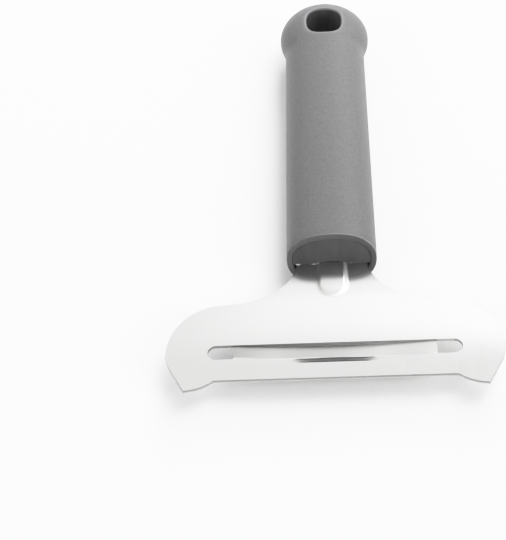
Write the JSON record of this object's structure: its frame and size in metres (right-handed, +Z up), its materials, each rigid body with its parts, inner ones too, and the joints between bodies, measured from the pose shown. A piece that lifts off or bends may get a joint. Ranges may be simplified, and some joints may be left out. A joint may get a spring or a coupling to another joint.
{
  "type": "cheese slicer",
  "caption": "Slotted cheese slicer: a wide flat stainless blade with pointed front corners and a pressed cutting lip, in a grey oval plastic handle with a hanging hole.",
  "frame": {"origin": "middle of the length and width, on the surface that the handle lies on", "axes": "+Y from the blade's front edge to the hanging hole, +X across the blade, +Z up, out of the side with the raised bead"},
  "size_m": [0.094, 0.1578, 0.0172],
  "materials": {
    "stainless_steel": "stamped stainless sheet, polished, with a satin ground cutting lip",
    "grip_plastic": "mid grey moulded plastic, fine matt texture",
    "core_plastic": "darker grey moulded plastic, plain"
  },
  "bodies": {
    "root": {"blade": "stainless_steel", "handle_shell": "grip_plastic", "core_upper": "core_plastic", "core_lower": "core_plastic"}
  },
  "joints": []
}
